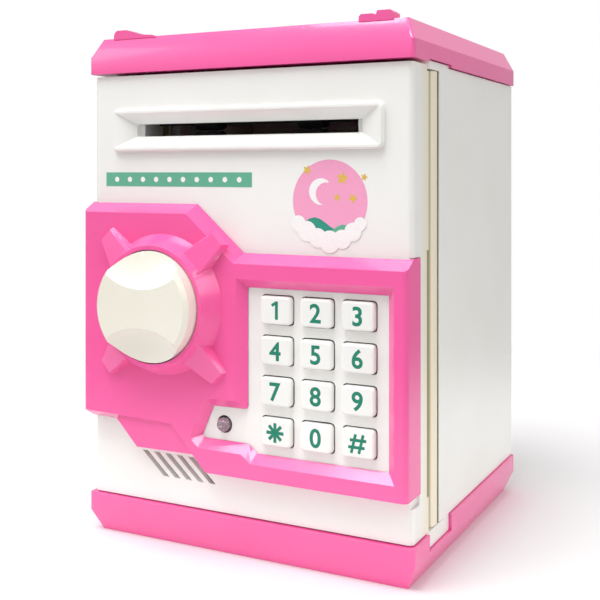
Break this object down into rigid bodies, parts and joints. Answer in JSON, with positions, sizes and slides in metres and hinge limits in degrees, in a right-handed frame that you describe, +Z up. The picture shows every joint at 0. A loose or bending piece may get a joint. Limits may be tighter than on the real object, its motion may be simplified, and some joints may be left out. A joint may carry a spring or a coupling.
{
  "type": "toy safe coin bank",
  "caption": "Box-shaped toy safe with a hinged front door, keypad, turning lock knob and latch, motorised note slot and a coin slot in its top cover.",
  "frame": {"origin": "centre of the flat face the base rests on", "axes": "+Z up, front of the door towards -Y, hinge on +X"},
  "size_m": [0.135, 0.136, 0.193],
  "materials": {
    "white_shell": "satin moulded ABS",
    "pink_shell": "glossy moulded ABS",
    "knob_ivory": "glossy moulded ABS",
    "key_white": "satin moulded ABS, printed",
    "acetal": "moulded acetal",
    "bright_steel": "zinc-plated",
    "rubber": "matt",
    "board_green": "solder mask",
    "led_lens": "clear epoxy",
    "speaker_black": "black painted steel frame and paper cone",
    "coil_copper": "enamelled copper winding",
    "cell_jacket": "printed metal jacket"
  },
  "bodies": {
    "case": {"body_shell": "white_shell", "top_cover": "pink_shell", "base_tray": "pink_shell", "hinge_pin_top": "bright_steel", "hinge_pin_bottom": "bright_steel", "base_screw_1": "bright_steel", "base_screw_2": "bright_steel", "base_screw_3": "bright_steel", "base_screw_4": "bright_steel", "cover_screw_1": "bright_steel", "cover_screw_2": "bright_steel", "cover_screw_3": "bright_steel", "cover_screw_4": "bright_steel"},
    "door": {"door_shell": "white_shell", "front_panel": "pink_shell", "keypad_plate": "white_shell", "key_membrane": "rubber", "circuit_board": "board_green", "status_led": "led_lens", "speaker": "speaker_black", "door_back": "white_shell", "battery_cover": "white_shell", "battery_cover_screw": "bright_steel", "battery_cell_1": "cell_jacket", "battery_cell_2": "cell_jacket", "battery_cell_3": "cell_jacket", "contact_plate_left": "bright_steel", "contact_plate_right": "bright_steel", "lock_solenoid": "coil_copper", "feed_motor": "bright_steel", "door_screw_1": "bright_steel", "door_screw_2": "bright_steel", "door_screw_3": "bright_steel", "door_screw_4": "bright_steel"},
    "knob": {"lock_knob": "knob_ivory", "knob_cam": "acetal", "knob_screw": "bright_steel"},
    "bolt": {"latch_bolt": "acetal"},
    "plunger": {"solenoid_plunger": "bright_steel"},
    "feed_roller": {"roller_axle": "bright_steel", "drive_gear": "acetal", "drive_roller_left": "rubber", "drive_roller_right": "rubber"},
    "idler": {"idler_roller": "acetal"},
    "pinion": {"motor_pinion": "acetal"},
    "key_1": {"key_1": "key_white"},
    "key_2": {"key_2": "key_white"},
    "key_3": {"key_3": "key_white"},
    "key_4": {"key_4": "key_white"},
    "key_5": {"key_5": "key_white"},
    "key_6": {"key_6": "key_white"},
    "key_7": {"key_7": "key_white"},
    "key_8": {"key_8": "key_white"},
    "key_9": {"key_9": "key_white"},
    "key_star": {"key_star": "key_white"},
    "key_0": {"key_0": "key_white"},
    "key_hash": {"key_hash": "key_white"}
  },
  "joints": [
    {"name": "door_hinge", "type": "hinge", "parent": "case", "child": "door", "pos_m": [0.0599, -0.0357, 0.095], "axis": [0, 0, 1], "range_deg": [0, 95]},
    {"name": "knob_turn", "type": "hinge", "parent": "door", "child": "knob", "pos_m": [-0.03, -0.05, 0.09], "axis": [0, 1, 0], "range_deg": [-90, 0]},
    {"name": "bolt_slide", "type": "slide", "parent": "door", "child": "bolt", "axis": [-1, 0, 0], "range_m": [0, 0.00566]},
    {"name": "plunger_slide", "type": "slide", "parent": "door", "child": "plunger", "axis": [0, 0, -1], "range_m": [0, 0.003], "stiffness_N_per_m": 60},
    {"name": "feed_roller_spin", "type": "hinge", "parent": "door", "child": "feed_roller", "pos_m": [0, -0.0435, 0.1481], "axis": [1, 0, 0], "continuous": true},
    {"name": "idler_spin", "type": "hinge", "parent": "door", "child": "idler", "pos_m": [0, -0.0435, 0.1585], "axis": [1, 0, 0], "continuous": true},
    {"name": "pinion_spin", "type": "hinge", "parent": "door", "child": "pinion", "pos_m": [-0.05, -0.0435, 0.13525], "axis": [1, 0, 0], "continuous": true},
    {"name": "key_1_press", "type": "slide", "parent": "door", "child": "key_1", "axis": [0, 1, 0], "range_m": [0, 0.0015], "stiffness_N_per_m": 300},
    {"name": "key_2_press", "type": "slide", "parent": "door", "child": "key_2", "axis": [0, 1, 0], "range_m": [0, 0.0015], "stiffness_N_per_m": 300},
    {"name": "key_3_press", "type": "slide", "parent": "door", "child": "key_3", "axis": [0, 1, 0], "range_m": [0, 0.0015], "stiffness_N_per_m": 300},
    {"name": "key_4_press", "type": "slide", "parent": "door", "child": "key_4", "axis": [0, 1, 0], "range_m": [0, 0.0015], "stiffness_N_per_m": 300},
    {"name": "key_5_press", "type": "slide", "parent": "door", "child": "key_5", "axis": [0, 1, 0], "range_m": [0, 0.0015], "stiffness_N_per_m": 300},
    {"name": "key_6_press", "type": "slide", "parent": "door", "child": "key_6", "axis": [0, 1, 0], "range_m": [0, 0.0015], "stiffness_N_per_m": 300},
    {"name": "key_7_press", "type": "slide", "parent": "door", "child": "key_7", "axis": [0, 1, 0], "range_m": [0, 0.0015], "stiffness_N_per_m": 300},
    {"name": "key_8_press", "type": "slide", "parent": "door", "child": "key_8", "axis": [0, 1, 0], "range_m": [0, 0.0015], "stiffness_N_per_m": 300},
    {"name": "key_9_press", "type": "slide", "parent": "door", "child": "key_9", "axis": [0, 1, 0], "range_m": [0, 0.0015], "stiffness_N_per_m": 300},
    {"name": "key_star_press", "type": "slide", "parent": "door", "child": "key_star", "axis": [0, 1, 0], "range_m": [0, 0.0015], "stiffness_N_per_m": 300},
    {"name": "key_0_press", "type": "slide", "parent": "door", "child": "key_0", "axis": [0, 1, 0], "range_m": [0, 0.0015], "stiffness_N_per_m": 300},
    {"name": "key_hash_press", "type": "slide", "parent": "door", "child": "key_hash", "axis": [0, 1, 0], "range_m": [0, 0.0015], "stiffness_N_per_m": 300}
  ],
  "couplings": [
    {"joint": "bolt_slide", "follows": "knob_turn", "m_per_rad": -0.0036},
    {"joint": "pinion_spin", "follows": "feed_roller_spin", "ratio": -2.6},
    {"joint": "idler_spin", "follows": "feed_roller_spin", "ratio": -1.5}
  ]
}
